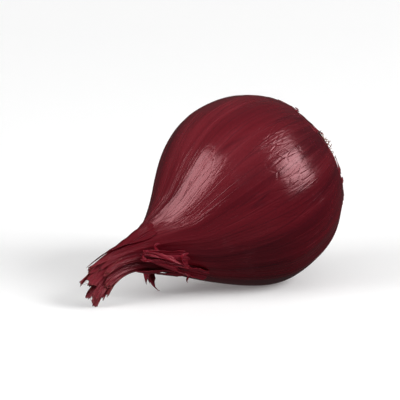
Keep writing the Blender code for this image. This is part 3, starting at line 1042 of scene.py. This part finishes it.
def floor_finish():
    """A plain, nearly white table that runs out into a white backdrop far from the onion."""
    material = bpy.data.materials.new("pale_floor")
    make = Nodes(material)
    place = make.metres()
    away = make.add("ShaderNodeVectorMath", {0: place}, output=1, operation="LENGTH")
    far = make.spread(away, *BACKDROP_FADE)
    speck = make.noise(place, 40.0)
    near_colour = make.mix(speck, (0.86, 0.86, 0.86, 1), (0.88, 0.88, 0.88, 1))
    make.shade(Base_Color=make.mix(far, near_colour, (0, 0, 0, 1)))
    make.shade(Emission_Color=(1, 1, 1, 1))
    make.shade(Emission_Strength=make.spread(away, *BACKDROP_FADE, FLOOR_GLOW, 1.0))
    make.shade(Roughness=0.7, Specular_IOR_Level=0.2)
    return material


def camera_axes():
    """Right, up and back, as seen from where the photograph was taken."""
    a, e = CAMERA_AZIMUTH, CAMERA_ELEVATION
    back = Vector((math.sin(a) * math.cos(e), -math.cos(a) * math.cos(e), math.sin(e)))
    right = Vector((math.cos(a), math.sin(a), 0))
    return right, back.cross(right), back


def build_camera():
    right, up, back = camera_axes()
    camera = bpy.data.cameras.new("camera")
    camera.lens = camera.sensor_width * CAMERA_DISTANCE / VIEW_WIDTH
    camera.clip_start, camera.clip_end = 0.05, 30
    holder = new_object("camera", camera)
    aside, higher = VIEW_AIM
    holder.location = MIDDLE + aside * right + higher * up + CAMERA_DISTANCE * back
    holder.rotation_euler = back.to_track_quat("Z", "Y").to_euler()
    bpy.context.scene.camera = holder


def build_softbox(name, direction, width, height, radiance, mirrored):
    """A large soft light that shines at the onion."""
    right, up, back = camera_axes()
    x, y, z = direction
    towards = (x * right + y * up + z * back).normalized()
    light = bpy.data.lights.new(name, "AREA")
    light.shape = "RECTANGLE"
    light.size, light.size_y = width * LIGHT_DISTANCE, height * LIGHT_DISTANCE
    light.energy = radiance * math.pi * light.size * light.size_y
    holder = new_object(name, light)
    holder.location = MIDDLE + LIGHT_DISTANCE * towards
    holder.rotation_euler = towards.to_track_quat("Z", "Y").to_euler()
    holder.visible_glossy = mirrored


def build_world():
    """White behind the onion. What lights it is a soft grey studio, brighter overhead and on the
    side that the photograph was taken from."""
    world = bpy.data.worlds.new("studio")
    bpy.context.scene.world = world
    make = Nodes(world)
    make.tree.nodes.clear()
    place = make.add("ShaderNodeTexCoord")
    strengths = []
    for towards, values in (((0, 0, 1), STUDIO_OVERHEAD), (camera_axes()[2], STUDIO_FRONT)):
        facing = {0: place, 1: towards}
        facing = make.add("ShaderNodeVectorMath", facing, output=1, operation="DOT_PRODUCT")
        strengths.append(make.add("ShaderNodeMapRange", dict(enumerate((facing, *values)))))
    grey = make.add("ShaderNodeBackground", {"Strength": make.plus(*strengths)})
    white = make.add("ShaderNodeBackground", {0: (1, 1, 1, 1)})
    seen = make.add("ShaderNodeLightPath")  # 1 where the camera sees the world directly
    both = make.add("ShaderNodeMixShader", {0: seen, 1: grey, 2: white})
    make.add("ShaderNodeOutputWorld", {0: both})


def build_floor():
    """A wide floor that the onion rests on."""
    line = np.linspace(-FLOOR_SIZE / 2, FLOOR_SIZE / 2, FLOOR_LINES)
    x, y = np.meshgrid(line, line)
    points = np.stack((x, y, 0 * x), axis=-1).reshape(-1, 3)
    mesh = bpy.data.meshes.new("floor")
    mesh.from_pydata(points.tolist(), [], grid_faces(FLOOR_LINES, FLOOR_LINES))
    mesh.materials.append(floor_finish())
    floor = new_object("floor", mesh)
    floor.visible_glossy = False  # no pale sheen under the belly
    floor.visible_diffuse = False  # a light from below stands for what it sends up
    floor.visible_shadow = False


def build_onion():
    skin = skin_finish("red_skin", papery=False)
    paper = skin_finish("papery_skin", papery=True)
    # its base colour holds a painted glow, for light shining through the thin loose strips
    loose = skin_finish("loose_skin_painted_glow", papery=True, thin=LOOSE_PAINTED_GLOW)
    cork = root_finish("corky_plate", *CORK)
    dry_root = root_finish("dry_root", *DRY_ROOT)

    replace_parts(build_skin(skin), "bulb")
    for number, (spec, curl) in enumerate(zip(NECK_STRIPS, STRIP_CURLS)):
        finish, count = (loose, STRIP_RIBBONS) if spec[3] > LOOSE_LIFT else (paper, 1)
        name = f"neck_strip_{number + 1}"
        build_strip(name, number, spec, curl, finish, STRIP_DRYNESS, count)
    for number, spec in enumerate(SKIN_FLAKES):
        name, order = f"skin_flake_{number + 1}", number + len(NECK_STRIPS)
        build_strip(name, order, spec, FLAKE_CURL, paper, FLAKE_DRYNESS)
    for number, spec in enumerate(NECK_RIBBONS):
        build_ribbon(f"neck_ribbon_{number + 1}", number, spec, loose)
    build_shreds(paper)
    build_fibres(paper)
    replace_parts(build_plate(cork), "roots")
    build_rootlets(dry_root)


build_camera()
for softbox in SOFTBOXES:
    build_softbox(*softbox)
build_world()
build_floor()
build_onion()
bpy.context.scene.view_settings.view_transform = "Standard"
